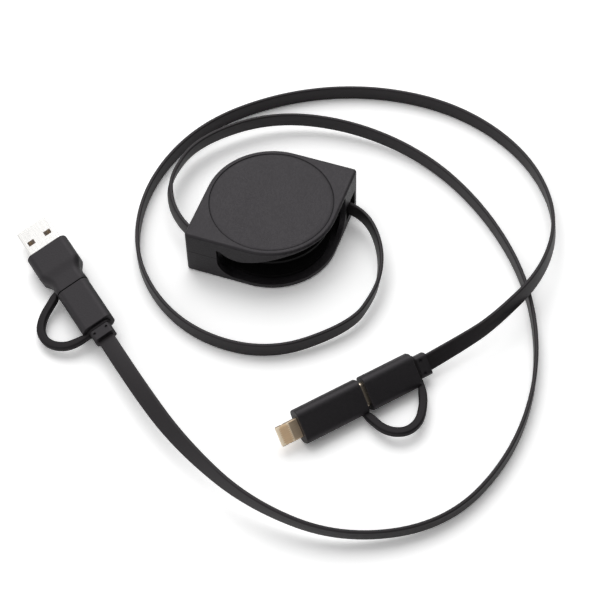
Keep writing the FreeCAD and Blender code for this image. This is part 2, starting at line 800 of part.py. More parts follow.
def spring_shape():
    """A flat spiral of half circles about two centres, with a tab that enters the post."""
    thick = read("spring_thick")
    step = read("spring_pitch") / 2
    start = read("post_radius") + read("spring_gap") + thick
    sides = {-1: [], 1: []}
    for half in range(int(2 * read("spring_turns"))):
        flip = 1 if half % 2 == 0 else -1
        centre = Vector(step / 2 * (1 - flip), 0, 0)
        for side in sides:
            radius = start + half * step + side * thick / 2
            points = [centre + Vector(flip * radius, 0, 0), centre + Vector(0, flip * radius, 0),
                      centre - Vector(flip * radius, 0, 0)]
            sides[side].append(Part.Arc(*points).toShape())
    first = [sides[side][0].Vertexes[0].Point for side in (-1, 1)]
    last = [sides[side][-1].Vertexes[-1].Point for side in (-1, 1)]
    ends = [Part.makeLine(*first), Part.makeLine(*last)]
    outline = Part.Wire(Part.__sortEdges__(sides[-1] + sides[1] + ends))
    strip = Part.Face(outline).extrude(Vector(0, 0, read("spring_width")))
    tab_start = read("post_radius") - read("tab_length")
    tab = Part.makeBox(start - tab_start, thick, read("spring_width"), Vector(tab_start, -thick / 2, 0))
    whole = strip.fuse(tab).removeSplitter()
    whole.translate(Vector(0, 0, read("spring_low")))
    return whole.Solids[0]


nodes.append(solid_node("power_spring", spring_shape()))

# Ratchet ball in its slot in the floor
ball = doc.addObject("Part::Sphere", "ratchet_ball")
ball.Label = "ratchet_ball"
bind(ball, "Radius", "ball_radius")
ball.setExpression("Placement.Base.x", "-size.ball_circle")
ball_height = "size.base_thick - size.ball_slot_depth + size.ball_gap + size.ball_radius"
ball.setExpression("Placement.Base.z", ball_height)
nodes.append(ball)


def end_place(end):
    """Where an end lies: its axis runs along local X from the ribbon to the tip."""
    turn = FreeCAD.Rotation(read(end + "_yaw"), read(end + "_pitch"), read(end + "_roll"))
    return FreeCAD.Placement(Vector(read(end + "_x"), read(end + "_y"), read(end + "_z")), turn)


def keep(node, place):
    """Set a piece of an end in its place."""
    node.Placement = place
    nodes.append(node)


def strips(label, boxes):
    """A row of thin contacts, each a box given by its size and low corner."""
    return solid_node(label, Part.makeCompound([Part.makeBox(*size, corner) for size, corner in boxes]))


def row(count, pitch):
    """Middles of evenly spaced contacts."""
    return [(number - (count - 1) / 2) * pitch for number in range(count)]


def plug(end, place):
    """Strain relief, grip, plug shell, insert, contacts and board of one end."""
    relief = bar(end + "_strain_relief", None, "relief_length", "relief_width", "relief_thick", "relief_corner")
    neck = new_sketch(relief, "YZ_Plane", "relief_length")
    rounded(neck, "neck_width", "neck_thick", "neck_corner")
    pad(relief, neck, "neck_length")
    dimples = new_sketch(relief, "XY_Plane", "relief_top")
    circle(dimples, ("dimple_x", "dimple_side"), "dimple_radius")
    circle(dimples, ("dimple_x", "minus_dimple_side"), "dimple_radius")
    pocket(relief, dimples, "dimple_depth")
    keep(relief, place)

    grip = bar(end + "_plug_grip", "grip_start", "grip_length", "grip_width", "grip_thick", "grip_corner")
    rear = flat_at("X", read("grip_start"))
    front = flat_at("X", read("grip_end"))
    ease(grip, "Fillet", grip.Tip, lambda edge: rear(edge) or front(edge), "grip_edge")
    bore(grip, "grip_end", "plug_seat", "plug_bore_width", "plug_bore_thick", "plug_corner")
    bore(grip, "plug_start", "board_room", "board_room_width", "board_room_thick", "board_room_corner")
    keep(grip, place)

    shell = bar(end + "_plug_shell", "plug_start", "plug_length", "plug_width", "plug_thick", "plug_corner")
    bore(shell, "plug_tip", "plug_length", "plug_inner_width", "plug_inner_thick", "plug_inner_corner")
    keep(shell, place)

    insert = bar(end + "_plug_insert", "plug_start", "insert_length", "insert_width", "insert_thick",
                 "plug_inner_corner")
    bore(insert, "insert_tip", "slot_depth", "slot_width", "slot_thick", "slot_corner")
    keep(insert, place)

    size = (read("contact_length"), read("contact_width"), read("contact_thick"))
    start = read("insert_tip") - read("slot_depth")
    levels = (-read("slot_thick") / 2, read("slot_thick") / 2 - size[2])
    boxes = [(size, Vector(start, side - size[1] / 2, level))
             for side in row(12, read("contact_pitch")) for level in levels]
    keep(strips(end + "_plug_contacts", boxes), place)

    keep(bar(end + "_plug_board", "board_start", "board_length", "board_width", "board_thick", "board_corner"),
         place)


def socket(end, place):
    """Socket shell, its tongue and the board behind it, in one adapter."""
    shell = bar(end + "_adapter_socket", end + "_rear", "socket_length", "socket_outer_width",
                "socket_outer_thick", "socket_outer_corner")
    bore(shell, end + "_rear", "socket_depth", "socket_width", "socket_thick", "socket_corner", True)
    keep(shell, place)
    keep(bar(end + "_adapter_socket_tongue", end + "_tongue_start", "tongue_length", "tongue_width",
             "tongue_thick", "tongue_corner"), place)
    keep(bar(end + "_adapter_board", end + "_board_start", end + "_board_length", "board_width",
             "board_thick", "board_corner"), place)


def hollow_adapter(body, end):
    """Cut the seats of the socket and the board."""
    bore(body, end + "_rear", "socket_bore_length", "socket_bore_width", "socket_bore_thick",
         "socket_outer_corner", True)
    bore(body, end + "_board_room_start", end + "_board_room", "board_room_width", "board_room_thick",
         "board_room_corner", True)


def wide_adapter(place):
    """Body with a waisted shoulder, flat metal plug shell with windows, tongue and four contacts."""
    body = new_body("wide_adapter_body")
    rear = new_sketch(body, "YZ_Plane", "wide_rear")
    rounded(rear, "grip_width", "grip_thick", "grip_corner")
    neck = new_sketch(body, "YZ_Plane", "wide_neck")
    rounded(neck, "grip_width", "grip_thick", "grip_corner")
    waist = new_sketch(body, "YZ_Plane", "wide_waist")
    rounded(waist, "waist_width", "waist_thick", "grip_corner")
    hip = new_sketch(body, "YZ_Plane", "wide_hip")
    rounded(hip, "hip_width", "hip_thick", "wide_corner")
    bulk = new_sketch(body, "YZ_Plane", "wide_bulk")
    rounded(bulk, "wide_width", "wide_thick", "wide_corner")
    taper = body.newObject("PartDesign::AdditiveLoft", "wide_adapter_taper")
    taper.Profile = rear
    taper.Sections = [neck, waist, hip, bulk]
    doc.recompute()
    front = new_sketch(body, "YZ_Plane", "wide_bulk")
    rounded(front, "wide_width", "wide_thick", "wide_corner")
    block = pad(body, front, "wide_bulk_length")
    ease(body, "Fillet", block, flat_at("X", read("wide_front")), "wide_edge")
    hollow_adapter(body, "wide")
    bore(body, "wide_front", "shell_seat", "shell_bore_width", "shell_bore_thick", "shell_corner")
    keep(body, place)

    shell = bar("wide_adapter_shell", "shell_start", "shell_length", "shell_width", "shell_thick", "shell_corner")
    bore(shell, "shell_start", "shell_length", "shell_inner_width", "shell_inner_thick",
         "shell_inner_corner", True)
    windows = new_sketch(shell, "XY_Plane", "shell_above")
    for inner, outer in (("window_inner", "window_outer"), ("minus_window_outer", "minus_window_inner")):
        polygon(windows, [
            ("window_west_edge", inner),
            ("window_east_edge", inner),
            ("window_east_edge", outer),
            ("window_west_edge", outer),
        ])
    pocket(shell, windows, "shell_through")
    keep(shell, place)

    tongue = new_body("wide_adapter_tongue")
    section = new_sketch(tongue, "YZ_Plane", "shell_start")
    polygon(section, [
        ("minus_blade_tongue_half", "blade_tongue_low"),
        ("blade_tongue_half", "blade_tongue_low"),
        ("blade_tongue_half", "blade_tongue_high"),
        ("minus_blade_tongue_half", "blade_tongue_high"),
    ])
    pad(tongue, section, "blade_tongue_length")
    keep(tongue, place)

    size = (read("pad_length"), read("pad_width"), read("pad_thick"))
    start = read("shell_start") + read("blade_tongue_length") - 2 * read("blade_tongue_inset") - size[0]
    outer = 3.5 * read("pad_width")
    boxes = [(size, Vector(start, side - size[1] / 2, read("blade_tongue_high")))
             for side in (-outer, -read("pad_width"), read("pad_width"), outer)]
    keep(strips("wide_adapter_contacts", boxes), place)


def slim_adapter(place):
    """Body, bare blade with side notches, and the contacts on both of the blade's faces."""
    body = bar("slim_adapter_body", "slim_rear", "slim_length", "grip_width", "grip_thick", "grip_corner")
    rear = flat_at("X", read("slim_rear"))
    front = flat_at("X", read("slim_front"))
    ease(body, "Fillet", body.Tip, lambda edge: rear(edge) or front(edge), "grip_edge")
    hollow_adapter(body, "slim")
    bore(body, "slim_front", "blade_seat", "blade_bore_width", "blade_bore_thick", "blade_corner")
    keep(body, place)

    blade = bar("slim_adapter_blade", "blade_start", "blade_length", "blade_width", "blade_thick", "blade_corner")
    ease(blade, "Fillet", blade.Tip, flat_at("X", read("blade_tip")), "blade_edge")
    notches = new_sketch(blade, "XY_Plane", "blade_above")
    circle(notches, ("notch_x", "notch_y"), "notch_radius")
    circle(notches, ("notch_x", "minus_notch_y"), "notch_radius")
    pocket(blade, notches, "blade_through")
    keep(blade, place)

    size = (read("finger_length"), read("finger_width"), read("finger_thick"))
    start = read("blade_tip") - read("finger_inset") - size[0]
    levels = (read("blade_thick") / 2, -read("blade_thick") / 2 - size[2])
    boxes = [(size, Vector(start, side - size[1] / 2, level))
             for side in row(8, read("finger_pitch")) for level in levels]
    keep(strips("slim_adapter_contacts", boxes), place)


def run_and_arc_stations(points, name):
    """Places and headings along straight runs joined by the largest tangent arcs, with the lean at each."""
    spots = [Vector(*point[:3]) for point in points]
    leans = [point[3] for point in points]
    edges = []
    radii = []
    marks = [0.0]
    walked = 0.0
    here = spots[0]
    for before, at, after in zip(spots, spots[1:], spots[2:]):
        inward = (at - before).normalize()
        outward = (after - at).normalize()
        half_turn = inward.getAngle(outward) / 2
        reach = 0.45 * min((at - before).Length, (after - at).Length)
        radii.append(reach / math.tan(half_turn))
        start = at - inward * reach
        end = at + outward * reach
        middle = at + (outward - inward).normalize() * radii[-1] * (1 / math.cos(half_turn) - 1)
        bend = Part.Arc(start, middle, end).toShape()
        edges += [Part.LineSegment(here, start).toShape(), bend]
        walked += edges[-2].Length + bend.Length
        marks.append(walked - bend.Length / 2)
        here = end
    edges.append(Part.LineSegment(here, spots[-1]).toShape())
    path = Part.Wire(edges)
    marks.append(path.Length)
    stations = []
    walked = 0.0
    for edge in path.OrderedEdges:
        curved = isinstance(edge.Curve, Part.Circle)
        steps = 1 + int(edge.Length / edge.Curve.Radius / math.radians(9)) if curved else 1
        for step in range(steps):
            along = edge.Length * step / steps
            where = edge.getParameterByLength(along)
            stations.append((edge.valueAt(where), edge.tangentAt(where), walked + along))
        walked += edge.Length
    last = path.OrderedEdges[-1]
    stations.append((last.valueAt(last.LastParameter), last.tangentAt(last.LastParameter), walked))
    print(name, "length", round(path.Length, 1), "radii", [round(radius, 1) for radius in radii])

    def lean_at(length):
        for (low, high), (first, second) in zip(zip(marks, marks[1:]), zip(leans, leans[1:])):
            if length <= high:
                return first + (second - first) * (length - low) / (high - low)
        return leans[-1]
    return [(place, heading, lean_at(length)) for place, heading, length in stations], path.Length


def band(points, corners, area, upright, name):
    """A solid of one section along a route; the section's upright side leans to the right of travel."""
    stations, length = run_and_arc_stations(points, name)
    sections = []
    for place, heading, lean in stations:
        level = (upright - heading * upright.dot(heading)).normalize()
        right = heading.cross(level)
        tilt = math.radians(lean)
        tall = level * math.cos(tilt) + right * math.sin(tilt)
        across = heading.cross(tall)
        ring_points = [place + across * u + tall * v for u, v in corners]
        sections.append(Part.makePolygon(ring_points + ring_points[:1]))
    solid = Part.makeLoft(sections, True, True)
    print(name, "volume", round(solid.Volume, 1), "against section times length", round(area * length, 1))
    return solid


# The two ribbons lie on edge and lean over towards their plugs; b crosses over a on the right.
# Each point is x, y, height of the ribbon's middle, and lean in degrees.
wind_middle = read("wind_low") + read("cable_play") + read("cable_width") / 2
rest = read("cable_width") / 2 + 0.1
edge = read("case_half")
lead = read("lead_side")
bowed = lead + read("lead_bow")
route_a = [
    (-0.5, -lead, wind_middle, 0),
    (-(edge + 0.5) / 2, -bowed, wind_middle, 0),
    (-edge, -lead, wind_middle - 0.2, 0),
    (-30.2, -8.6, 5.8, 4),
    (-36.6, -1.2, 4.8, 10),
    (-41.2, 10.0, 3.8, 13),
    (-38.2, 29.0, rest, 8),
    (-18.0, 48.1, rest, 2),
    (10.6, 53.5, rest, 0),
    (41.0, 47.1, rest, 0),
    (67.9, 29.2, rest, 0),
    (89.0, 4.0, rest, 0),
    (100.8, -27.1, rest, 0),
    (101.5, -60.3, rest, 0),
    (89.4, -90.4, 3.1, -8),
    (61.0, -106.3, 3.7, -12),
    (30.2, -104.2, 4.8, 0),
    (3.4, -91.1, 5.8, 35),
    (-17.1, -76.5, 6.5, 70),
    (read("wide_x"), read("wide_y"), read("wide_z"), 90 + read("wide_roll")),
]
route_b = [
    (0.5, lead, wind_middle, 0),
    ((edge + 0.5) / 2, bowed, wind_middle, 0),
    (edge + 0.3, lead + 1.6, wind_middle - 0.1, 0),
    (30.5, 11.9, 6.0, -3),
    (36.6, 4.2, 4.7, -8),
    (40.0, -4.6, 3.6, -9),
    (41.0, -14.5, 3.1, -6),
    (38.0, -29.7, rest, -3),
    (15.8, -49.8, rest, 0),
    (-14.7, -48.6, rest, 0),
    (-39.5, -28.2, rest, 0),
    (-48.3, 2.8, rest, 0),
    (-40.8, 34.7, rest, 0),
    (-17.9, 58.4, rest, 0),
    (11.2, 71.7, rest, 0),
    (43.1, 73.0, rest, 0),
    (71.4, 60.3, rest, 0),
    (89.5, 36.5, 4.5, 5),
    (92.6, 7.6, 9.7, 15),
    (82.4, -16.9, 9.0, 28),
    (74.4, -26.7, 6.2, 40),
    (read("slim_x"), read("slim_y"), read("slim_z"), 90 + read("slim_roll")),
]
half_width = read("cable_width") / 2
half_thick = read("cable_thick") / 2
ribbon = [(-half_thick, -half_width), (half_thick, -half_width), (half_thick, half_width),
          (-half_thick, half_width)]
ribbon_area = read("cable_width") * read("cable_thick")
skyward = Vector(0, 0, 1)
nodes.append(solid_node("cable_a", band(route_a, ribbon, ribbon_area, skyward, "cable_a")))
nodes.append(solid_node("cable_b", band(route_b, ribbon, ribbon_area, skyward, "cable_b")))


def rounded_prism(width, thick, corner, start, length):
    """A rounded bar along X as a plain shape."""
    block = Part.makeBox(length, width, thick, Vector(start, -width / 2, -thick / 2))
    long_edges = [edge for edge in block.Edges if edge.BoundBox.XLength > length / 2]
    return block.makeFillet(corner, long_edges)


def tether(end, place, points, upright):
    """A collar round the plug's neck and a soft strap from it to the adapter's rear corner."""
    half_width = read("strap_width") / 2
    half_thick = read("strap_thick") / 2
    bevel = read("strap_chamfer")
    section = [
        (-half_width, bevel - half_thick), (bevel - half_width, -half_thick),
        (half_width - bevel, -half_thick), (half_width, bevel - half_thick),
        (half_width, half_thick - bevel), (half_width - bevel, half_thick),
        (bevel - half_width, half_thick), (-half_width, half_thick - bevel),
    ]
    area = read("strap_width") * read("strap_thick") - 2 * bevel * bevel
    strap = band(points, section, area, upright, end + "_tether")
    start = read("collar_start")
    length = read("collar_length")
    outer = rounded_prism(read("collar_width"), read("collar_thick"), read("collar_corner"), start, length)
    inner = rounded_prism(read("collar_bore_width"), read("collar_bore_thick"), read("neck_corner"), start, length)
    clear = read("collar_end_gap")
    grip_room = rounded_prism(read("grip_width") + 2 * clear, read("grip_thick") + 2 * clear,
                              read("grip_corner"), read("grip_start") - clear, read("grip_length") + 2 * clear)
    strap = strap.cut(inner).cut(grip_room)
    node = solid_node(end + "_tether", outer.cut(inner).fuse(strap).removeSplitter().Solids[0])
    keep(node, place)


# Ends: the wide one's strap lies in its own plane, the slim one's on the floor beside it
wide_place = end_place("wide")
slim_place = end_place("slim")
plug("wide", wide_place)
socket("wide", wide_place)
wide_adapter(wide_place)
plug("slim", slim_place)
socket("slim", slim_place)
slim_adapter(slim_place)
collar_middle = read("collar_start") + read("collar_length") / 2
collar_side = read("collar_width") / 2
wide_strap = [
    (read("wide_rear") + 2.2, read("grip_width") / 2 - 0.2, 0, 0),
    (read("wide_rear") + 0.2, read("grip_width") / 2 + 2.9, 0, 0),
    (20.4, 13.2, 0.7, 0),
    (16.0, 16.7, 1.0, 0),
    (10.5, 17.3, 1.0, 0),
    (6.2, 14.7, 0.7, 0),
    (collar_middle - 0.4, 10.4, 0.2, 0),
    (collar_middle, collar_side - 0.4, 0, 0),
]
tether("wide", wide_place, wide_strap, skyward)
# x along the plug, y out from it and height above the floor, turned into the plug's own frame
slim_floor = [
    (read("slim_rear") + 2.1, 3.9, 2.3),
    (read("slim_rear") + 1.1, 7.0, 1.7),
    (25.9, 12.0, 1.4),
    (22.8, 16.0, 1.4),
    (18.2, 17.2, 1.4),
    (13.2, 15.2, 1.4),
    (8.9, 11.2, 1.4),
    (6.2, 7.2, 1.6),
    (collar_middle, 3.5, 2.3),
]
heading = FreeCAD.Rotation(read("slim_yaw"), 0, 0)
slim_foot = Vector(read("slim_x"), read("slim_y"), 0)
to_local = slim_place.inverse()
slim_strap = []
for point in slim_floor:
    local = to_local.multVec(slim_foot + heading.multVec(Vector(*point)))
    slim_strap.append((local.x, local.y, local.z, 0))
tether("slim", slim_place, slim_strap, slim_place.Rotation.inverted().multVec(skyward))

# Every piece is sound before any is written
doc.recompute()
for thing in doc.Objects:
    if "Invalid" in thing.State or "Error" in thing.State:
        raise RuntimeError(f"{thing.Label} failed: {thing.State}")
for node in nodes:
    if node.Shape.isNull() or not node.Shape.isValid():
        raise RuntimeError(f"{node.Label} has no sound shape")
os.makedirs("parts", exist_ok=True)
for node in nodes:
    node.Shape.exportStep(f"parts/{node.Label}.step")
print(len(nodes), "pieces written")
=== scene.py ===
"""Looks of a retractable flat charging cable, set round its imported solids.

Lengths are in metres unless a comment says millimetres. +Z is up and the floor is at z = 0.
"""
import math

import bpy
import numpy as np
from mathutils import Euler, Matrix, Vector


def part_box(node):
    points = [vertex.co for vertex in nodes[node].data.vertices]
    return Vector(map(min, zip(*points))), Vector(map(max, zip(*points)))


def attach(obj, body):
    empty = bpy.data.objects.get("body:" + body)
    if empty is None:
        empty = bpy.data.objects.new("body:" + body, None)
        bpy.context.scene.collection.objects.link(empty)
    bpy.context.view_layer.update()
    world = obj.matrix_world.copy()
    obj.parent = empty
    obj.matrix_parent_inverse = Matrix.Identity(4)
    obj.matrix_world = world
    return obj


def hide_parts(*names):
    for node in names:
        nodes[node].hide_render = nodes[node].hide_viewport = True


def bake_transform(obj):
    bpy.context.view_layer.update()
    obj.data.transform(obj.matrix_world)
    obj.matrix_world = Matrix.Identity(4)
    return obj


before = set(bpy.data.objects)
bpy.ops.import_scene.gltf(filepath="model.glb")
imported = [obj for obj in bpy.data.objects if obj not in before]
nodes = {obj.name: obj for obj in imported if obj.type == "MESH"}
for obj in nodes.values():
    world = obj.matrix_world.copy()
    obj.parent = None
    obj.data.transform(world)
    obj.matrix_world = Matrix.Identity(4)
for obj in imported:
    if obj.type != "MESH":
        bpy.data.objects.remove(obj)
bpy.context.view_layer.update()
bpy.context.scene.view_settings.view_transform = "Standard"

# Case shells
# The reel's leaf-shaped case is two black shells, injection moulded with a fine spark-eroded grain.
# They meet at a hairline parting line about half-way up and are held by one screw through the middle.
PARTING_LEVEL = 0.010
PARTING_WIDTH = 0.00012
PARTING_BLACK = (0.001, 0.001, 0.001, 1)
# Tones are a material's dark and pale colour. A skin is its roughness, least and most, its grain's depth
# and its gloss.
CASE_TONES = ((0.005, 0.0046, 0.0053, 1), (0.0145, 0.0135, 0.015, 1))
CASE_SKIN = (0.4, 0.6, 0.00004, 0.42)
GLOSS_TINT = (1.0, 0.94, 1.0, 1)
GRAIN_SCALE = 5200
MOTTLE_SCALE = 1600
PATCH_SCALE = 95


def new_group(name, inputs, outputs):
    """An empty shader group with the given sockets, and the nodes for its inputs and outputs."""
    group = bpy.data.node_groups.new(name, "ShaderNodeTree")
    for word, kind in inputs:
        group.interface.new_socket(word, in_out="INPUT", socket_type=kind)
    for word, kind in outputs:
        group.interface.new_socket(word, in_out="OUTPUT", socket_type=kind)
    entry = group.nodes.new("NodeGroupInput")
    result = group.nodes.new("NodeGroupOutput")
    return group, entry, result


def noise(tree, vector, scale, detail=2.0, roughness=0.5):
    """A noise value over a vector; the scale counts features in a metre."""
    node = tree.nodes.new("ShaderNodeTexNoise")
    node.inputs["Scale"].default_value = scale
    node.inputs["Detail"].default_value = detail
    node.inputs["Roughness"].default_value = roughness
    tree.links.new(vector, node.inputs["Vector"])
    return node.outputs["Fac"]


def spread(tree, value, low, high, out_low, out_high):
    """The value's range from low to high, carried to another range and held at its ends."""
    node = tree.nodes.new("ShaderNodeMapRange")
    for word, number in zip(("From Min", "From Max", "To Min", "To Max"), (low, high, out_low, out_high)):
        if isinstance(number, (int, float)):
            node.inputs[word].default_value = number
        else:
            tree.links.new(number, node.inputs[word])
    tree.links.new(value, node.inputs["Value"])
    return node.outputs["Result"]


def blend_colours(tree, share, first, second):
    """First colour where the share is 0, second where it is 1."""
    node = tree.nodes.new("ShaderNodeMix")
    node.data_type = "RGBA"
    tree.links.new(share, node.inputs["Factor"])
    for socket, colour in ((node.inputs[6], first), (node.inputs[7], second)):
        if isinstance(colour, tuple):
            socket.default_value = colour
        else:
            tree.links.new(colour, socket)
    return node.outputs[2]


def sum_of(tree, first, second, operation="ADD"):
    """One arithmetic step on two values or numbers."""
    node = tree.nodes.new("ShaderNodeMath")
    node.operation = operation
    for socket, value in zip(node.inputs, (first, second)):
        if isinstance(value, (int, float)):
            socket.default_value = value
        else:
            tree.links.new(value, socket)
    return node.outputs[0]


# Moulded skin: fine tool grain, a coarser mottle, and broad faint patches where handling has polished it
skin, entry, result = new_group(
    "moulded_skin",
    [("Place", "NodeSocketVector"), ("Dark", "NodeSocketColor"), ("Pale", "NodeSocketColor"),
     ("Smooth", "NodeSocketFloat"), ("Matt", "NodeSocketFloat")],
    [("Colour", "NodeSocketColor"), ("Roughness", "NodeSocketFloat"), ("Height", "NodeSocketFloat")])
grain = noise(skin, entry.outputs["Place"], GRAIN_SCALE, 2.5, 0.6)
mottle = noise(skin, entry.outputs["Place"], MOTTLE_SCALE, 1.0, 0.5)
patch = noise(skin, entry.outputs["Place"], PATCH_SCALE, 3.0, 0.55)
tone = sum_of(skin, spread(skin, patch, 0.3, 0.7, 0.0, 0.25), spread(skin, grain, 0.35, 0.65, 0.0, 0.25))
tone = sum_of(skin, tone, spread(skin, mottle, 0.35, 0.65, 0.0, 0.5))
skin.links.new(blend_colours(skin, tone, entry.outputs["Dark"], entry.outputs["Pale"]),
               result.inputs["Colour"])
skin.links.new(spread(skin, tone, 0.0, 1.0, entry.outputs["Smooth"], entry.outputs["Matt"]),
               result.inputs["Roughness"])
skin.links.new(sum_of(skin, grain, sum_of(skin, mottle, 1.5, "MULTIPLY")), result.inputs["Height"])


def new_material(name):
    """A node material, with its tree, its shader and its object coordinates."""
    material = bpy.data.materials.new(name)
    material.use_nodes = True
    tree = material.node_tree
    shader = tree.nodes["Principled BSDF"]
    place = tree.nodes.new("ShaderNodeTexCoord").outputs["Object"]
    return material, tree, shader, place


def bump(tree, shader, height, depth):
    """Relief of a given depth in metres."""
    node = tree.nodes.new("ShaderNodeBump")
    node.inputs["Strength"].default_value = 1.0
    node.inputs["Distance"].default_value = depth
    tree.links.new(height, node.inputs["Height"])
    tree.links.new(node.outputs["Normal"], shader.inputs["Normal"])


def moulded(name, dark, pale, smooth, matt, depth, gloss):
    """A moulded plastic or rubber; returns its material, tree, shader and skin."""
    material, tree, shader, place = new_material(name)
    group = tree.nodes.new("ShaderNodeGroup")
    group.node_tree = skin
    tree.links.new(place, group.inputs["Place"])
    group.inputs["Dark"].default_value = dark
    group.inputs["Pale"].default_value = pale
    group.inputs["Smooth"].default_value = smooth
    group.inputs["Matt"].default_value = matt
    tree.links.new(group.outputs["Colour"], shader.inputs["Base Color"])
    tree.links.new(group.outputs["Roughness"], shader.inputs["Roughness"])
    shader.inputs["Specular IOR Level"].default_value = gloss
    shader.inputs["Specular Tint"].default_value = GLOSS_TINT
    bump(tree, shader, group.outputs["Height"], depth)
    return material, tree, shader, group


def finish_nodes(material, *names):
    """Give solids of the frame a material."""
    for name in names:
        for slot in nodes[name].material_slots:
            slot.material = material


case_plastic, tree, shader, group = moulded("case_plastic", *CASE_TONES, *CASE_SKIN)
# The parting line is a dark hairline at its level, all round the outside
apart = tree.nodes.new("ShaderNodeSeparateXYZ")
tree.links.new(tree.nodes["Texture Coordinate"].outputs["Object"], apart.inputs[0])
off_line = sum_of(tree, sum_of(tree, apart.outputs["Z"], PARTING_LEVEL, "SUBTRACT"), 0.0, "ABSOLUTE")
parting = spread(tree, off_line, PARTING_WIDTH / 2, PARTING_WIDTH, 0.8, 0.0)
tree.links.new(blend_colours(tree, parting, group.outputs["Colour"], PARTING_BLACK),
               shader.inputs["Base Color"])
tree.links.new(spread(tree, parting, 0.0, 1.0, group.outputs["Roughness"], 1.0), shader.inputs["Roughness"])
finish_nodes(case_plastic, "upper_shell", "lower_shell")

# Inlay disc
# A round plate of the same plastic, dropped flush into the top to cover the screw.
# Its edge is well rounded, which leaves a soft groove between it and the case.
DISC_RADIUS = 0.02068
DISC_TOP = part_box("upper_shell")[1].z
DISC_THICK = 0.00079
DISC_BASE_EASE = 0.0001
DISC_STEPS = 160
# Flat caps of this radius close the middle, above and below
DISC_CENTRE = 0.0005
# The round runs from this angle in radians, short of upright at the rim, to level at the top
DISC_ROUND_START = 0.42
DISC_ROUND = 0.0013
DISC_FALL = 0.00033
SHARP_FROM = math.radians(35)


def grid_faces(rows, columns, wrap_rows=False):
    """Quads of a grid of points whose columns close on themselves, and whose rows may too."""
    first = np.arange(rows if wrap_rows else rows - 1)[:, None]
    second = (first + 1) % rows
    here = np.arange(columns)[None, :]
    there = (here + 1) % columns
    quads = [row * columns + column for row, column in (
        (first, here), (first, there), (second, there), (second, here))]
    return np.stack(np.broadcast_arrays(*quads), axis=-1).reshape(-1, 4)


def new_piece(name, points, faces, caps=()):
    """A smooth mesh piece; caps are whole rings of points that close an end."""
    mesh = bpy.data.meshes.new(name)
    mesh.from_pydata(points.reshape(-1, 3).tolist(), [], faces.tolist() + [list(cap) for cap in caps])
    mesh.polygons.foreach_set("use_smooth", np.ones(len(mesh.polygons), bool))
    mesh.set_sharp_from_angle(angle=SHARP_FROM)
    mesh.validate()
    piece = bpy.data.objects.new(name, mesh)
    bpy.context.scene.collection.objects.link(piece)
    return piece


def turned_piece(name, radius, height, steps):
    """A profile turned about the Z axis: point (i, j) is radius[i] * (cos, sin) of step j, at height[i].

    The profile goes from the bottom out and up to the top. Flat caps close its first and last rings.
    """
    turn = np.linspace(0, 2 * math.pi, steps, endpoint=False)
    x = np.outer(radius, np.cos(turn))
    y = np.outer(radius, np.sin(turn))
    points = np.stack([x, y, np.broadcast_to(np.asarray(height)[:, None], x.shape)], axis=-1)
    last = (len(radius) - 1) * steps
    caps = (range(steps)[::-1], range(last, last + steps))
    return new_piece(name, points, grid_faces(len(radius), steps), caps)


quarter = np.linspace(DISC_ROUND_START, math.pi / 2, 9)
disc_base = DISC_TOP - DISC_THICK
round_radii = DISC_RADIUS + DISC_ROUND * (np.cos(quarter) - np.cos(quarter[0]))
round_heights = DISC_TOP - DISC_FALL * (1 - np.sin(quarter))
base_radii = [DISC_CENTRE, DISC_RADIUS - DISC_BASE_EASE, DISC_RADIUS]
base_heights = [disc_base, disc_base, disc_base + DISC_BASE_EASE]
disc_radii = np.concatenate([base_radii, round_radii, [DISC_CENTRE]])
disc_heights = np.concatenate([base_heights, round_heights, [DISC_TOP]])
inlay_disc = turned_piece("inlay_disc", disc_radii, disc_heights, DISC_STEPS)
inlay_disc.data.materials.append(moulded("disc_plastic", *CASE_TONES, *CASE_SKIN)[0])
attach(inlay_disc, "case")
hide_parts("top_disc")

# Reel
# The spool and its spring cover turn on the post inside, the ratchet ball slides beside it, and one
# screw holds the case. The spool is moulded acetal, and the ball and screw are bright steel.
# The spool and its cover are blacker and duller than the case: black acetal, darkened further as painted
# shade for the inside of the case.
REEL_BLACK_AND_SHADE = ((0.004, 0.004, 0.004, 1), (0.006, 0.006, 0.006, 1))
REEL_SKIN = (0.45, 0.55, 0.00001, 0.08)
STEEL_TONES = ((0.45, 0.45, 0.46, 1), (0.6, 0.6, 0.61, 1))
STEEL_ROUGH = (0.18, 0.3)
ALL_WAYS = (2500, 2500, 2500)
STREAK_DEPTH = 0.000002
reel_plastic = moulded("reel_plastic", *REEL_BLACK_AND_SHADE, *REEL_SKIN)[0]
finish_nodes(reel_plastic, "spool", "spring_cover")


def metal(name, dark, pale, smooth, matt, lie, streaks, metallic=1.0):
    """Metal with fine streaks; returns its material, tree, shader and coordinates.

    The lie is the place and turn of the streaks' own axes, and streaks counts them in a metre along each.
    """
    material, tree, shader, place = new_material(name)
    turned = tree.nodes.new("ShaderNodeMapping")
    turned.vector_type = "TEXTURE"
    turned.inputs["Location"].default_value = lie.to_translation()
    turned.inputs["Rotation"].default_value = lie.to_euler()
    tree.links.new(place, turned.inputs["Vector"])
    drawn = tree.nodes.new("ShaderNodeMapping")
    drawn.inputs["Scale"].default_value = streaks
    tree.links.new(turned.outputs["Vector"], drawn.inputs["Vector"])
    streak = noise(tree, drawn.outputs["Vector"], 1.0, 3.0, 0.6)
    shade = spread(tree, streak, 0.3, 0.7, 0.0, 1.0)
    tree.links.new(blend_colours(tree, shade, dark, pale), shader.inputs["Base Color"])
    tree.links.new(spread(tree, streak, 0.3, 0.7, smooth, matt), shader.inputs["Roughness"])
    shader.inputs["Metallic"].default_value = metallic
    bump(tree, shader, streak, STREAK_DEPTH)
    return material, tree, shader, turned.outputs["Vector"]


bright_steel = metal("bright_steel", *STEEL_TONES, *STEEL_ROUGH, Matrix(), ALL_WAYS)[0]
finish_nodes(bright_steel, "ratchet_ball", "centre_screw")

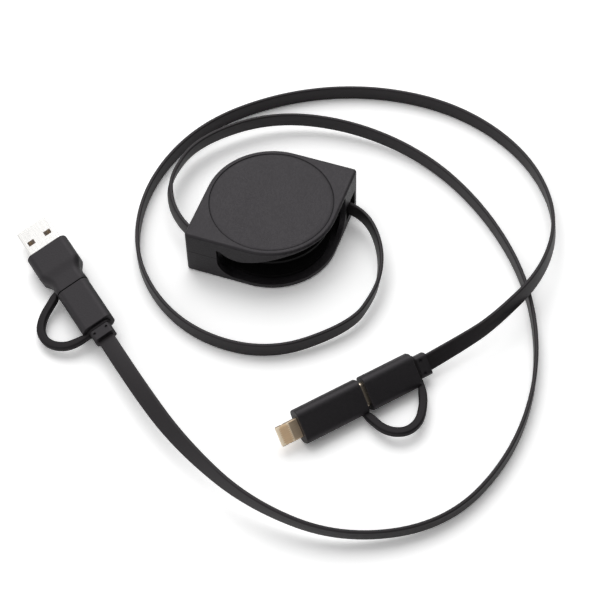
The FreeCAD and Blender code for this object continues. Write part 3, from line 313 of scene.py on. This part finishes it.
# Ribbons
# Each cable is a flat ribbon of copper strands in black thermoplastic rubber with rounded edges.
# It leaves the case on edge, stands so along the floor and leans over towards its plug.
RIBBON_WIDTH = 0.0057
RIBBON_THICK = 0.00133
RIBBON_CORNER = 0.00052
RIBBON_TONES = ((0.0075, 0.0066, 0.0068, 1), (0.0125, 0.0112, 0.0114, 1))
RIBBON_SKIN = (0.4, 0.5, 0.000008, 0.36)
LINE_STEPS = 12
SKYWARD = np.array([0.0, 0.0, 1.0])
# Each row is x, y and height of the ribbon's middle in millimetres, and its lean in degrees
ROUTE_A = np.array([
    (-0.5, -13.6, 6.8, 0), (-11.5, -14.0, 6.8, 0), (-22.5, -13.6, 6.6, 0), (-30.0, -9.2, 6.6, 4),
    (-36.1, -2.5, 6.8, 10), (-40.3, 7.8, 7.0, 13), (-37.2, 26.3, 6.9, 8), (-17.2, 46.0, 6.0, 2),
    (10.9, 52.6, 4.3, 0), (41.1, 47.0, 3.1, 0), (67.9, 29.2, 2.95, 0), (89.0, 4.0, 2.95, 0),
    (100.8, -27.1, 2.95, 0), (101.5, -60.3, 2.95, 0), (89.4, -90.4, 3.1, -8), (61.2, -106.4, 4.3, -12),
    (31.1, -105.8, 8.0, 0), (4.3, -93.3, 9.0, 35), (-16.7, -77.5, 8.0, 70), (-34.7, -61.8, 6.45, 75)])
ROUTE_B = np.array([
    (0.5, 13.6, 6.8, 0), (11.5, 14.0, 6.8, 0), (22.8, 15.2, 6.7, 0), (30.5, 11.9, 6.0, -3),
    (36.9, 3.3, 6.0, -8), (40.5, -5.9, 5.5, -9), (41.5, -15.8, 5.0, -6), (38.3, -30.5, 4.2, -3),
    (15.9, -50.0, 3.2, 0), (-14.7, -48.6, 2.95, 0), (-39.5, -28.2, 2.95, 0), (-48.3, 2.8, 2.95, 0),
    (-40.8, 34.7, 2.95, 0), (-17.9, 58.4, 2.95, 0), (11.2, 71.7, 2.95, 0), (43.1, 73.0, 2.95, 0),
    (71.4, 60.3, 2.95, 0), (89.5, 36.5, 4.5, 5), (92.6, 7.6, 9.6, 12), (82.28, -16.55, 8.6, 19),
    (74.55, -27.0, 7.2, 29), (66.0, -36.9, 5.4, 42)])


def spline_points(name, route, steps):
    """Points along the smooth spline of order 3 that has the route's points as its control points."""
    curve = bpy.data.curves.new(name, "CURVE")
    curve.dimensions = "3D"
    spline = curve.splines.new("NURBS")
    spline.points.add(len(route) - 1)
    spline.points.foreach_set("co", np.column_stack([route, np.ones(len(route))]).ravel())
    spline.order_u = 3
    spline.use_endpoint_u = True
    spline.resolution_u = steps
    holder = bpy.data.objects.new(name, curve)
    mesh = bpy.data.meshes.new_from_object(holder)
    points = np.empty(3 * len(mesh.vertices))
    mesh.vertices.foreach_get("co", points)
    bpy.data.objects.remove(holder)
    bpy.data.curves.remove(curve)
    bpy.data.meshes.remove(mesh)
    return points.reshape(-1, 3)


def rounded_outline(width, thick, corner, steps=6):
    """Closed outline of a rounded bar.

    The points are each corner's middle plus its radius times (cos, sin) of a quarter turn.
    """
    quarter = np.linspace(0, math.pi / 2, steps + 1)
    turn = quarter + math.pi / 2 * np.arange(4)[:, None]
    side = np.array([(1, 1), (-1, 1), (-1, -1), (1, -1)])
    middle = side * (width / 2 - corner, thick / 2 - corner)
    return (middle[:, None] + corner * np.stack([np.cos(turn), np.sin(turn)], axis=-1)).reshape(-1, 2)


def directions(points, leans, upright=SKYWARD):
    """Leaning upright side and side across of a band, for each point of its line.

    The upright side is the given one squared up to the heading, turned about the heading by the lean.
    """
    heading = np.gradient(points, axis=0)
    heading /= np.linalg.norm(heading, axis=1, keepdims=True)
    level = upright - heading * (heading @ upright)[:, None]
    level /= np.linalg.norm(level, axis=1, keepdims=True)
    right = np.cross(heading, level)
    tilt = np.radians(leans)[:, None]
    tall = level * np.cos(tilt) + right * np.sin(tilt)
    return tall, np.cross(heading, tall)


def band(name, line, tall, across, outline):
    """A bar along a line: point (i, j) is line[i] + across[i] * outline[j, 0] + tall[i] * outline[j, 1].

    The outline may be one for all points of the line, or one for each.
    """
    outline = np.broadcast_to(outline, (len(line),) + outline.shape[-2:])
    points = line[:, None] + across[:, None] * outline[..., :1] + tall[:, None] * outline[..., 1:]
    rows, columns = points.shape[:2]
    caps = (range(columns), range(rows * columns - 1, (rows - 1) * columns - 1, -1))
    return new_piece(name, points, grid_faces(rows, columns)[:, ::-1], caps)


ribbon_skin = moulded("ribbon_skin", *RIBBON_TONES, *RIBBON_SKIN)[0]
ribbon_outline = rounded_outline(RIBBON_THICK, RIBBON_WIDTH, RIBBON_CORNER)
for letter, route in (("a", ROUTE_A), ("b", ROUTE_B)):
    line = spline_points("ribbon_line", route[:, :3] / 1000, LINE_STEPS)
    leans = spline_points("ribbon_lean", route[:, 3:] * (1, 0, 0), LINE_STEPS)[:, 0]
    tall, across = directions(line, leans)
    ribbon = band("ribbon_" + letter, line, tall, across, ribbon_outline)
    ribbon.data.materials.append(ribbon_skin)
    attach(ribbon, "case")
    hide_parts("cable_" + letter)

# Turns left on the spool
# The part of the cable that is not drawn out, of the same rubber. Both ribbons are wound together on the
# hub, one between the turns of the other, and each ends beside the start of its own ribbon.
WOUND_INNER = 0.00815
WOUND_OUTER = 0.0119
WOUND_TURNS = 1.34
WOUND_HEIGHT = 0.0068


def spiral(radius, angle, height):
    """Points of a level spiral: (radius * cos, radius * sin) of the angle, at one height."""
    return np.column_stack([radius * np.cos(angle), radius * np.sin(angle), 0 * angle + height])


wound_share = np.linspace(0, 1, 120)
for letter, start in (("a", -90), ("b", 90)):
    line = spiral(WOUND_INNER + (WOUND_OUTER - WOUND_INNER) * wound_share,
                  np.radians(start + 360 * WOUND_TURNS * (1 - wound_share)), WOUND_HEIGHT)
    tall, across = directions(line, 0 * wound_share)
    wound = band("wound_ribbon_" + letter, line, tall, across, ribbon_outline)
    wound.data.materials.append(ribbon_skin)
    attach(wound, "spool")
    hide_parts("wound_cable")

# Power spring
# A flat strip of blued steel, coiled between the post and the wall of the spool's chamber.
# It winds the reel in. The tab at its inner end is left off, so that the coil can turn with the spool and
# stay clear of the post.
SPRING_INNER = 0.00395
SPRING_PITCH = 0.0011
SPRING_TURNS = 8.0
SPRING_THICK = 0.00025
SPRING_CORNER = 0.00006
BLUED_TONES = ((0.18, 0.19, 0.21, 1), (0.3, 0.31, 0.33, 1))
BLUED_ROUGH = (0.3, 0.42)
ROLLED = (300, 300, 6000)
spring_low, spring_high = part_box("power_spring")
turns = np.linspace(0, SPRING_TURNS, 320)
line = spiral(SPRING_INNER + SPRING_PITCH * turns, 2 * math.pi * turns, (spring_low.z + spring_high.z) / 2)
tall, across = directions(line, 0 * turns)
strip_outline = rounded_outline(SPRING_THICK, spring_high.z - spring_low.z, SPRING_CORNER, 2)
coil = band("coiled_spring", line, tall, across, strip_outline)
coil.data.materials.append(metal("spring_steel", *BLUED_TONES, *BLUED_ROUGH, Matrix(), ROLLED)[0])
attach(coil, "spool")
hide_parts("power_spring")

# Plugs
# Each ribbon ends in a moulded strain relief with two dimples, a neck and a grip of satin black plastic.
# The small oval plug in the grip is a drawn nickel-plated shell round a black insert with gilt contacts.
PLUG_TONES = ((0.0052, 0.0048, 0.0053, 1), (0.01, 0.0093, 0.0102, 1))
PLUG_SKIN = (0.5, 0.6, 0.000025, 0.5)
INSERT_TONES = ((0.012, 0.012, 0.012, 1), (0.02, 0.02, 0.02, 1))
INSERT_SKIN = (0.4, 0.5, 0.000004, 0.4)
BOARD_TONES = ((0.008, 0.045, 0.02, 1), (0.012, 0.07, 0.03, 1))
BOARD_SKIN = (0.35, 0.45, 0.000004, 0.5)
PLATING = {"wide": ((0.9, 0.89, 0.87, 1), (0.96, 0.95, 0.93, 1)),
           "slim": ((0.72, 0.61, 0.48, 1), (0.82, 0.71, 0.57, 1))}
# The wide end's gilt is darker and greyer than the slim end's: gilt colour with painted shade, for contacts
# that sit inside the shell.
GILDING_AND_SHADE = {"wide": ((0.42, 0.33, 0.24, 1), (0.54, 0.43, 0.32, 1)),
           "slim": ((0.76, 0.55, 0.34, 1), (0.86, 0.64, 0.42, 1))}
PLATING_ROUGH = (0.2, 0.28)
GILDING_ROUGH = (0.3, 0.42)
# The slim end's contacts are worn to a dull, pale gilt
GILT_METALLIC = {"wide": 1.0, "slim": 0.2}
LENGTHWAYS = (120, 5000, 5000)
# Each end starts where its ribbon's route stops, and has a roll, pitch and heading in degrees
WIDE_PLACE = ROUTE_A[-1, :3] / 1000
WIDE_TURN = (-15.0, 1.0, 140.1)
SLIM_PLACE = ROUTE_B[-1, :3] / 1000
SLIM_TURN = (-43.0, -1.0, 230.6)


def lie_of(place, turn):
    """Matrix of an end's own frame, with X along the plug, from its place and its turn in degrees."""
    return Matrix.Translation(place) @ Euler([math.radians(angle) for angle in turn]).to_matrix().to_4x4()


LIES = {"wide": lie_of(WIDE_PLACE, WIDE_TURN), "slim": lie_of(SLIM_PLACE, SLIM_TURN)}
plug_plastic = moulded("plug_plastic", *PLUG_TONES, *PLUG_SKIN)[0]
insert_plastic = moulded("insert_plastic", *INSERT_TONES, *INSERT_SKIN)[0]
board_resin = moulded("board_resin", *BOARD_TONES, *BOARD_SKIN)[0]
plated = {}
for end, lie in LIES.items():
    plated[end] = metal("nickel_" + end, *PLATING[end], *PLATING_ROUGH, lie, LENGTHWAYS)[0]
    gilt = metal("gilt_" + end, *GILDING_AND_SHADE[end], *GILDING_ROUGH, lie, LENGTHWAYS, GILT_METALLIC[end])[0]
    finish_nodes(plug_plastic, end + "_strain_relief", end + "_plug_grip", end + "_adapter_body")
    finish_nodes(insert_plastic, end + "_plug_insert", end + "_adapter_socket_tongue")
    finish_nodes(board_resin, end + "_plug_board", end + "_adapter_board")
    finish_nodes(plated[end], end + "_plug_shell", end + "_adapter_socket")
    finish_nodes(gilt, end + "_plug_contacts", end + "_adapter_contacts")

# Wide adapter
# A shouldered body of the plugs' plastic, moulded round the large flat plug.
# The plug is a folded bright shell with two latch windows and a tan plastic tongue.
TONGUE_TONES = ((0.5, 0.42, 0.36, 1), (0.58, 0.5, 0.43, 1))
TONGUE_SKIN = (0.4, 0.5, 0.000004, 0.5)
finish_nodes(plated["wide"], "wide_adapter_shell")
tongue_plastic = moulded("tongue_plastic", *TONGUE_TONES, *TONGUE_SKIN)[0]
finish_nodes(tongue_plastic, "wide_adapter_tongue")

# Slim adapter
# A plain body with a short bare blade, cast and plated, with flat gilt contacts on both faces.
# They lie in a paler panel between two bright bars; the plate behind it and the blade's edges are darker.
PANEL_START = 0.0504
PANEL_BAR = 0.0007
PANEL_STOP = 0.0543
BLADE_HALF = 0.00335
EDGE_WIDTH = 0.0003
STEP_SOFT = 0.0002
BLADE_TONES = ((0.72, 0.57, 0.41, 1), (0.84, 0.67, 0.49, 1))
BLADE_ROUGH = (0.45, 0.55)
EDGE_DARK = (0.27, 0.215, 0.155, 1)
PANEL_TAN = (0.84, 0.61, 0.38, 1)
BAR_PALE = (1.0, 0.84, 0.63, 1)


def soft_step(tree, value, level, before, after):
    """From one number to another, as the value goes just past a level."""
    return spread(tree, value, level, level + STEP_SOFT, before, after)


blade_metal, tree, shader, local = metal(
    "blade_metal", *BLADE_TONES, *BLADE_ROUGH, LIES["slim"], LENGTHWAYS)
apart = tree.nodes.new("ShaderNodeSeparateXYZ")
tree.links.new(local, apart.inputs[0])
forward = apart.outputs["X"]
panel = soft_step(tree, forward, PANEL_START, 0.0, 1.0)
past_rear_bar = soft_step(tree, forward, PANEL_START + PANEL_BAR, 0.0, 1.0)
behind_front_bar = soft_step(tree, forward, PANEL_STOP - PANEL_BAR, 1.0, 0.0)
inner = sum_of(tree, past_rear_bar, behind_front_bar, "MULTIPLY")
beside = sum_of(tree, apart.outputs["Y"], 0.0, "ABSOLUTE")
edge = soft_step(tree, beside, BLADE_HALF - EDGE_WIDTH, 0.0, 1.0)
plate_colour = shader.inputs["Base Color"].links[0].from_socket
panel_colour = blend_colours(tree, inner, BAR_PALE, PANEL_TAN)
face_colour = blend_colours(tree, panel, plate_colour, panel_colour)
tree.links.new(blend_colours(tree, edge, face_colour, EDGE_DARK), shader.inputs["Base Color"])
tree.links.new(spread(tree, panel, 0.0, 1.0, 1.0, 0.0), shader.inputs["Metallic"])
finish_nodes(blade_metal, "slim_adapter_blade")

# Tethers
# A soft silicone strap keeps each adapter with its cable.
# It is one moulding: a collar round the plug's neck, and a loop that is fixed in the adapter's wall.
STRAP_WIDTH = 0.0028
STRAP_THICK = 0.0024
STRAP_CORNER = 0.0007
STRAP_TONES = ((0.0062, 0.0056, 0.0058, 1), (0.0105, 0.0096, 0.01, 1))
STRAP_SKIN = (0.5, 0.6, 0.000008, 0.24)
# The loop is narrower by this share at both ends, which fades over a reach from each
STRAP_PINCH = 0.38
COLLAR_REACH = 0.003
ROOT_REACH = 0.0015
# The collar runs along the plug from its start for its length, round a bore
COLLAR = {"start": 0.0039, "length": 0.0010, "width": 0.0090, "thick": 0.0044, "corner": 0.0020,
          "bore_width": 0.0065, "bore_thick": 0.0031, "bore_corner": 0.001}
# The wide strap lies nearly in the plug's own plane: x along the plug, y out from it and z off the plane,
# in millimetres
WIDE_STRAP = np.array([
    (25.8, 5.15, 0), (23.6, 8.5, 0), (20.4, 13.2, 0.7), (16.0, 16.7, 1.0),
    (10.8, 16.9, 1.0), (6.8, 14.2, 0.7), (4.6, 9.9, 0.2), (4.4, 4.1, 0)])
# The slim strap arches just above the floor: x along the plug, y out from it and height, in millimetres
SLIM_STRAP = np.array([
    (26.1, 4.2, 2.4), (25.5, 7.6, 3.0), (24.8, 12.7, 3.7), (22.2, 16.5, 4.2), (18.3, 18.2, 4.4),
    (13.7, 17.0, 4.4), (9.6, 12.8, 3.9), (6.6, 8.2, 3.1), (4.4, 3.5, 2.3)])
SLIM_FLOOR = lie_of(SLIM_PLACE * (1, 1, 0), (0, 0, SLIM_TURN[2]))
strap_rubber = moulded("strap_rubber", *STRAP_TONES, *STRAP_SKIN)[0]


def carried(lie, points):
    """Points of an end's own frame, in the shared frame."""
    turn = np.array(lie.to_3x3())
    return points @ turn.T + np.array(lie.to_translation())


def signed_root(value):
    """Square root of the size, with the sign kept."""
    return np.sign(value) * np.abs(value) ** 0.5


def collar_surface(lie):
    """Ring round the neck: point (i, j) is hole[j] + share(i) * (rim[j] - hole[j]) at x(i).

    The share and x go once round a rounded square: half plus half the signed root of the sine, and the
    middle of the collar plus half its length times the signed root of the cosine.
    """
    rim = rounded_outline(COLLAR["width"], COLLAR["thick"], COLLAR["corner"], 8)
    hole = rounded_outline(COLLAR["bore_width"], COLLAR["bore_thick"], COLLAR["bore_corner"], 8)
    turn = np.linspace(0, 2 * math.pi, 24, endpoint=False)[:, None]
    share = 0.5 + 0.5 * signed_root(np.sin(turn))
    x = COLLAR["start"] + COLLAR["length"] / 2 * (1 + signed_root(np.cos(turn)))
    flat = hole + share[..., None] * (rim - hole)
    points = np.concatenate([np.broadcast_to(x, flat.shape[:2])[..., None], flat], axis=-1)
    return carried(lie, points.reshape(-1, 3)), grid_faces(len(turn), len(rim), True)[:, ::-1]


for end, route, lie in (("wide", WIDE_STRAP, LIES["wide"]), ("slim", SLIM_STRAP, SLIM_FLOOR)):
    line = carried(lie, spline_points("strap_line", route / 1000, LINE_STEPS))
    upright = np.array(lie.to_3x3())[:, 2]
    tall, across = directions(line, 0 * line[:, 0], upright)
    walked = np.concatenate([[0], np.cumsum(np.linalg.norm(np.diff(line, axis=0), axis=1))])
    left = walked[-1] - walked
    near_end = np.exp(-(left / COLLAR_REACH) ** 2) + np.exp(-(walked / ROOT_REACH) ** 2)
    narrow = np.stack([1 - STRAP_PINCH * near_end, np.ones_like(near_end)], axis=-1)
    outline = rounded_outline(STRAP_WIDTH, STRAP_THICK, STRAP_CORNER) * narrow[:, None]
    strap = band(end + "_strap", line, tall, across, outline)
    ring_points, ring_faces = collar_surface(LIES[end])
    ring = new_piece(end + "_collar", ring_points, ring_faces)
    for piece in (strap, ring):
        piece.data.materials.append(strap_rubber)
        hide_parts(end + "_tether")
    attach(ring, "case")
    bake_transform(strap)

# Floor, light and camera
# A white studio floor in a bright room with a dark doorway on the right, and one large soft lamp above
# and behind. The camera stands where the photographer stood.
FLOOR_REACH = 3
PAPER_LIT = (0.93, 0.93, 0.93, 1)
PAPER_MIRRORED = (1.0, 1.0, 1.0, 1)
PAPER_SEEN = (1.36, 1.36, 1.36, 1)
floor_corners = [(FLOOR_REACH * x, FLOOR_REACH * y, 0) for x, y in ((-1, -1), (1, -1), (1, 1), (-1, 1))]
floor_mesh = bpy.data.meshes.new("floor")
floor_mesh.from_pydata(floor_corners, [], [(0, 1, 2, 3)])
floor = bpy.data.objects.new("floor", floor_mesh)
bpy.context.scene.collection.objects.link(floor)
paper, tree, shader, place = new_material("white_paper")
rays = tree.nodes.new("ShaderNodeLightPath").outputs
mirrored = sum_of(tree, rays["Is Glossy Ray"], rays["Is Transmission Ray"], "MAXIMUM")
paper_colour = blend_colours(tree, mirrored, PAPER_LIT, PAPER_MIRRORED)
tree.links.new(blend_colours(tree, rays["Is Camera Ray"], paper_colour, PAPER_SEEN),
               shader.inputs["Base Color"])
shader.inputs["Roughness"].default_value = 0.9
shader.inputs["Specular IOR Level"].default_value = 0.0
floor_mesh.materials.append(paper)

DOORWAY_SIDE = Vector((0.88, -0.15, 0.45)).normalized()
# The room darkens from the first to the second of these cosines of the angle off the doorway
DOORWAY_FRAME = 0.55
DOORWAY_INSIDE = 0.85
ROOM_BRIGHT = 0.8
DOORWAY_DIM = 0.1
world = bpy.data.worlds.new("studio")
world.use_nodes = True
tree = world.node_tree
towards = tree.nodes.new("ShaderNodeVectorMath")
towards.operation = "DOT_PRODUCT"
towards.inputs[1].default_value = DOORWAY_SIDE
tree.links.new(tree.nodes.new("ShaderNodeTexCoord").outputs["Generated"], towards.inputs[0])
room = spread(tree, towards.outputs["Value"], DOORWAY_FRAME, DOORWAY_INSIDE, ROOM_BRIGHT, DOORWAY_DIM)
camera_ray = tree.nodes.new("ShaderNodeLightPath").outputs["Is Camera Ray"]
sky = tree.nodes["Background"]
sky.inputs["Color"].default_value = (1, 1, 1, 1)
tree.links.new(sum_of(tree, room, camera_ray, "MAXIMUM"), sky.inputs["Strength"])
bpy.context.scene.world = world

LAMP_PLACE = Vector((-0.35, 0.62, 1.25))
LAMP_AIM = Vector((0.02, -0.02, 0))
LAMP_SIZE = 1.2
LAMP_POWER = 8.5
lamp_data = bpy.data.lights.new("key_lamp", "AREA")
lamp_data.size = LAMP_SIZE
lamp_data.energy = LAMP_POWER
lamp = bpy.data.objects.new("key_lamp", lamp_data)
lamp.location = LAMP_PLACE
lamp.rotation_euler = (LAMP_AIM - LAMP_PLACE).to_track_quat("-Z", "Y").to_euler()
bpy.context.scene.collection.objects.link(lamp)

CAMERA_TARGET = Vector((0.0178, -0.0226, 0.0))
CAMERA_DISTANCE = 0.6524
CAMERA_AZIMUTH = math.radians(21.13)
CAMERA_ELEVATION = math.radians(53.37)
CAMERA_ROLL = math.radians(-1.82)
CAMERA_CLIP = 0.01
# Sensor's width and focal length in millimetres
CAMERA_SENSOR = 36
CAMERA_LENS = 118.16
back = Vector((math.sin(CAMERA_AZIMUTH) * math.cos(CAMERA_ELEVATION),
               -math.cos(CAMERA_AZIMUTH) * math.cos(CAMERA_ELEVATION),
               math.sin(CAMERA_ELEVATION)))
level_right = Vector((math.cos(CAMERA_AZIMUTH), math.sin(CAMERA_AZIMUTH), 0))
level_up = back.cross(level_right)
right = level_right * math.cos(CAMERA_ROLL) + level_up * math.sin(CAMERA_ROLL)
up = back.cross(right)
camera_data = bpy.data.cameras.new("camera")
camera_data.sensor_width = CAMERA_SENSOR
camera_data.lens = CAMERA_LENS
camera_data.clip_start = CAMERA_CLIP
camera = bpy.data.objects.new("camera", camera_data)
camera.matrix_world = Matrix.Translation(CAMERA_TARGET + back * CAMERA_DISTANCE) @ Matrix(
    (right, up, back)).transposed().to_4x4()
bpy.context.scene.collection.objects.link(camera)
bpy.context.scene.camera = camera

bpy.context.view_layer.update()
